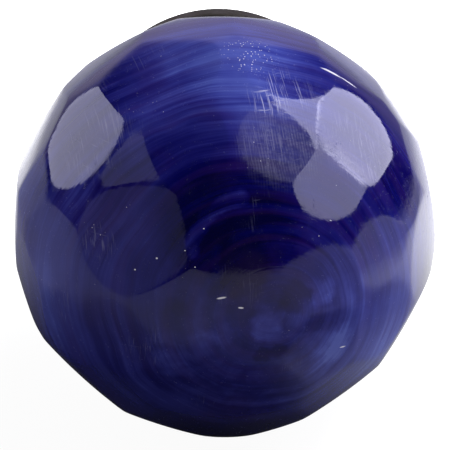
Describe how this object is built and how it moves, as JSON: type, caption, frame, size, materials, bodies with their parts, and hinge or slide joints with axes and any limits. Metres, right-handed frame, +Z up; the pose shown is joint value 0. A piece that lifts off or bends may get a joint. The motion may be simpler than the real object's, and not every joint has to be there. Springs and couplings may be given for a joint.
{
  "type": "ball knob",
  "caption": "Glazed ceramic ball knob for a drawer or door, hand-cut with shallow facets, on a round metal base with a threaded bolt, washers and a nut behind.",
  "frame": {"origin": "centre of the base's flat mounting face, where the knob's axis meets the panel", "axes": "+Y along the bolt, away from the hand and through the panel; -Y towards the hand; +Z up"},
  "size_m": [0.0393, 0.0637, 0.0398],
  "materials": {
    "glaze": "gloss",
    "cement": "matte",
    "plated_steel": "satin",
    "spring_steel": "satin",
    "pad": "matte",
    "aged_metal": "satin"
  },
  "bodies": {
    "knob": {"ball_head": "glaze", "socket_cement": "cement", "anchor_bolt": "plated_steel", "seat_pad": "pad", "base_flange": "aged_metal"},
    "washers": {"flat_washer": "plated_steel", "lock_washer": "spring_steel"},
    "nut": {"hex_nut": "plated_steel"}
  },
  "joints": [
    {"name": "fastening_travel", "type": "slide", "parent": "knob", "child": "washers", "axis": [0, 1, 0], "range_m": [0, 0.015]},
    {"name": "nut_turn", "type": "hinge", "parent": "washers", "child": "nut", "pos_m": [0, 0.0025, 0], "axis": [0, 1, 0], "range_deg": [0, 7720]}
  ],
  "couplings": [
    {"joint": "nut_turn", "follows": "fastening_travel", "rad_per_m": 8976}
  ]
}
